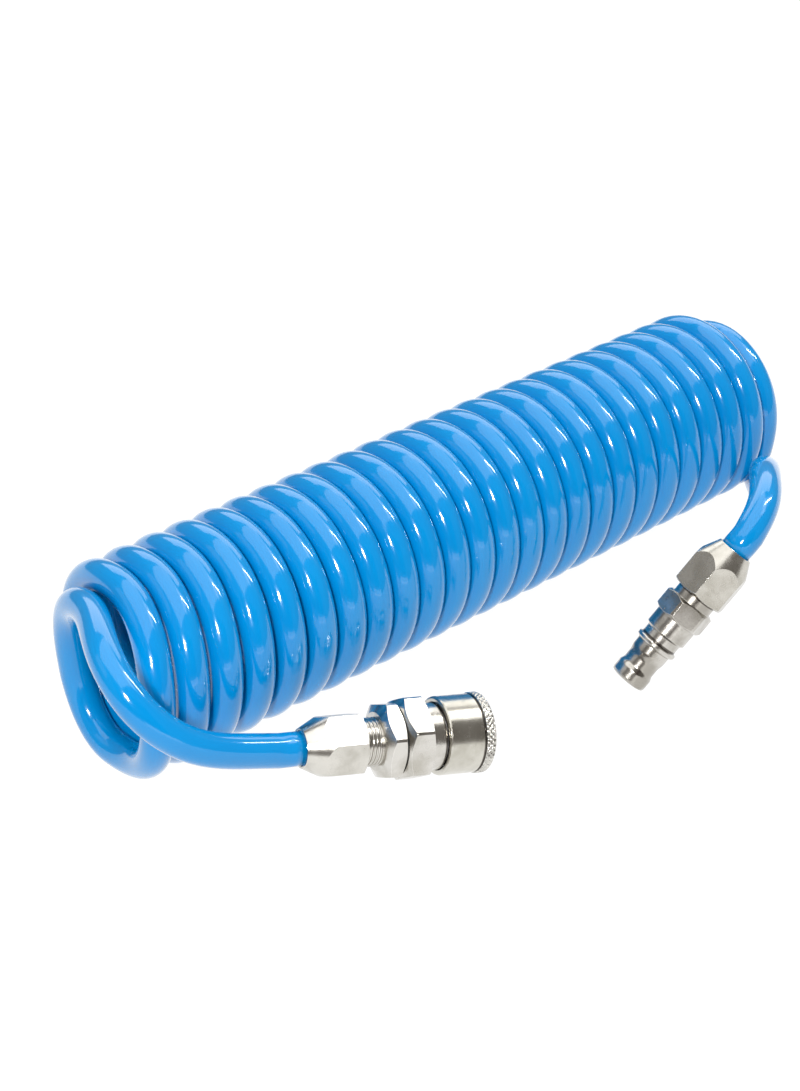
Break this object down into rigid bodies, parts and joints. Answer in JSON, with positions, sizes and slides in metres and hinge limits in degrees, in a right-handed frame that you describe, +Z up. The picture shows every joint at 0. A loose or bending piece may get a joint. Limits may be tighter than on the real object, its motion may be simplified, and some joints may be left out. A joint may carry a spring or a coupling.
{
  "type": "coiled air hose",
  "caption": "Coiled polyurethane recoil air hose with a quick-connect coupler on one end and the matching plug on the other.",
  "frame": {"origin": "on the floor under the centre of the part's bounding box", "axes": "+X along the coil, from the coupler's end to the plug's end; +Z up; the fittings lie on the -Y side"},
  "size_m": [0.3582, 0.1481, 0.0765],
  "materials": {
    "hose": "glossy blue polyurethane",
    "nickel": "nickel plate, satin to bright",
    "steel": "plain spring and ball steel",
    "brass": "machined brass",
    "rubber": "black nitrile"
  },
  "bodies": {
    "hose_with_fittings": {"hose_coil": "hose", "hose_tail_socket": "hose", "hose_tail_plug": "hose", "hose_end_socket": "hose", "hose_end_plug": "hose", "socket_nut": "nickel", "socket_adapter": "nickel", "body_gasket": "rubber", "socket_body": "nickel", "valve_guide": "brass", "valve_spring": "steel", "plug_seal": "rubber", "sleeve_spring": "steel", "sleeve_stop_ring": "steel", "plug_nut": "nickel", "plug_body": "nickel"},
    "release_sleeve": {"sleeve": "nickel"},
    "valve": {"valve_poppet": "brass", "valve_seal": "rubber"},
    "ball_1": {"locking_ball_1": "steel"},
    "ball_2": {"locking_ball_2": "steel"},
    "ball_3": {"locking_ball_3": "steel"},
    "ball_4": {"locking_ball_4": "steel"},
    "ball_5": {"locking_ball_5": "steel"},
    "ball_6": {"locking_ball_6": "steel"}
  },
  "joints": [
    {"name": "sleeve_slide", "type": "slide", "parent": "hose_with_fittings", "child": "release_sleeve", "axis": [-0.933, 0.3122, 0.1788], "range_m": [0, 0.005], "stiffness_N_per_m": 1800, "springref_m": -0.004, "deforming": ["sleeve_spring"]},
    {"name": "valve_slide", "type": "slide", "parent": "hose_with_fittings", "child": "valve", "axis": [-0.933, 0.3122, 0.1788], "range_m": [0, 0.0039], "stiffness_N_per_m": 900, "springref_m": -0.003, "deforming": ["valve_spring"]},
    {"name": "ball_1_slide", "type": "slide", "parent": "hose_with_fittings", "child": "ball_1", "axis": [-0.1696, 0.0567, -0.9839], "range_m": [0, 0.001]},
    {"name": "ball_2_slide", "type": "slide", "parent": "hose_with_fittings", "child": "ball_2", "axis": [0.19, 0.8496, -0.4919], "range_m": [0, 0.001]},
    {"name": "ball_3_slide", "type": "slide", "parent": "hose_with_fittings", "child": "ball_3", "axis": [0.3596, 0.7929, 0.4919], "range_m": [0, 0.001]},
    {"name": "ball_4_slide", "type": "slide", "parent": "hose_with_fittings", "child": "ball_4", "axis": [0.1696, -0.0567, 0.9839], "range_m": [0, 0.001]},
    {"name": "ball_5_slide", "type": "slide", "parent": "hose_with_fittings", "child": "ball_5", "axis": [-0.19, -0.8496, 0.4919], "range_m": [0, 0.001]},
    {"name": "ball_6_slide", "type": "slide", "parent": "hose_with_fittings", "child": "ball_6", "axis": [-0.3596, -0.7929, -0.4919], "range_m": [0, 0.001]}
  ],
  "couplings": [
    {"joint": "ball_1_slide", "follows": "sleeve_slide", "ratio": 0.2},
    {"joint": "ball_2_slide", "follows": "sleeve_slide", "ratio": 0.2},
    {"joint": "ball_3_slide", "follows": "sleeve_slide", "ratio": 0.2},
    {"joint": "ball_4_slide", "follows": "sleeve_slide", "ratio": 0.2},
    {"joint": "ball_5_slide", "follows": "sleeve_slide", "ratio": 0.2},
    {"joint": "ball_6_slide", "follows": "sleeve_slide", "ratio": 0.2}
  ]
}
